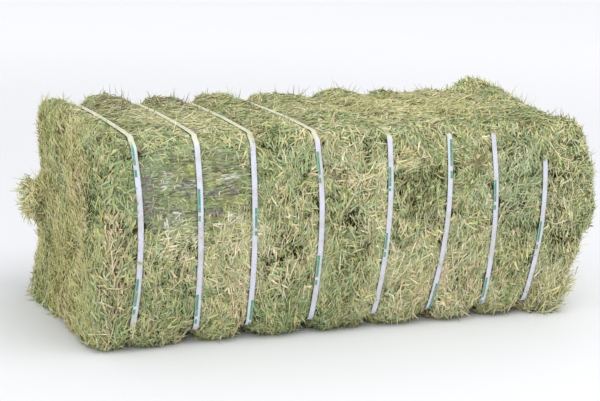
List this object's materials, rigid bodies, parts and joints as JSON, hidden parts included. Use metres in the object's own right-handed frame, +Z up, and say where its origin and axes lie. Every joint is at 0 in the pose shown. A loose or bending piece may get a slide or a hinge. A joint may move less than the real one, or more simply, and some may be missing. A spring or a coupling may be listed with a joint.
{
  "type": "square hay bale",
  "caption": "Pressed rectangular hay bale that stands on its long side, parted into upright flakes and bound by flat plastic straps around its section.",
  "frame": {"origin": "on the floor, under the middle of the bale's box", "axes": "+X runs along the bale, -Y is the long face that is seen from the front, +Z is up"},
  "size_m": [1.2554, 0.5882, 0.4996],
  "materials": {
    "hay": "dry pressed hay, matt, green to tan stems and leaves",
    "strap": "white plastic strapping with plain green bars, satin, a little dusty"
  },
  "bodies": {
    "root": {"flake_1": "hay", "flake_2": "hay", "flake_3": "hay", "flake_4": "hay", "strap_1": "strap", "strap_2": "strap", "strap_3": "strap", "strap_4": "strap", "strap_5": "strap", "strap_6": "strap", "strap_7": "strap", "strap_8": "strap"}
  },
  "joints": []
}
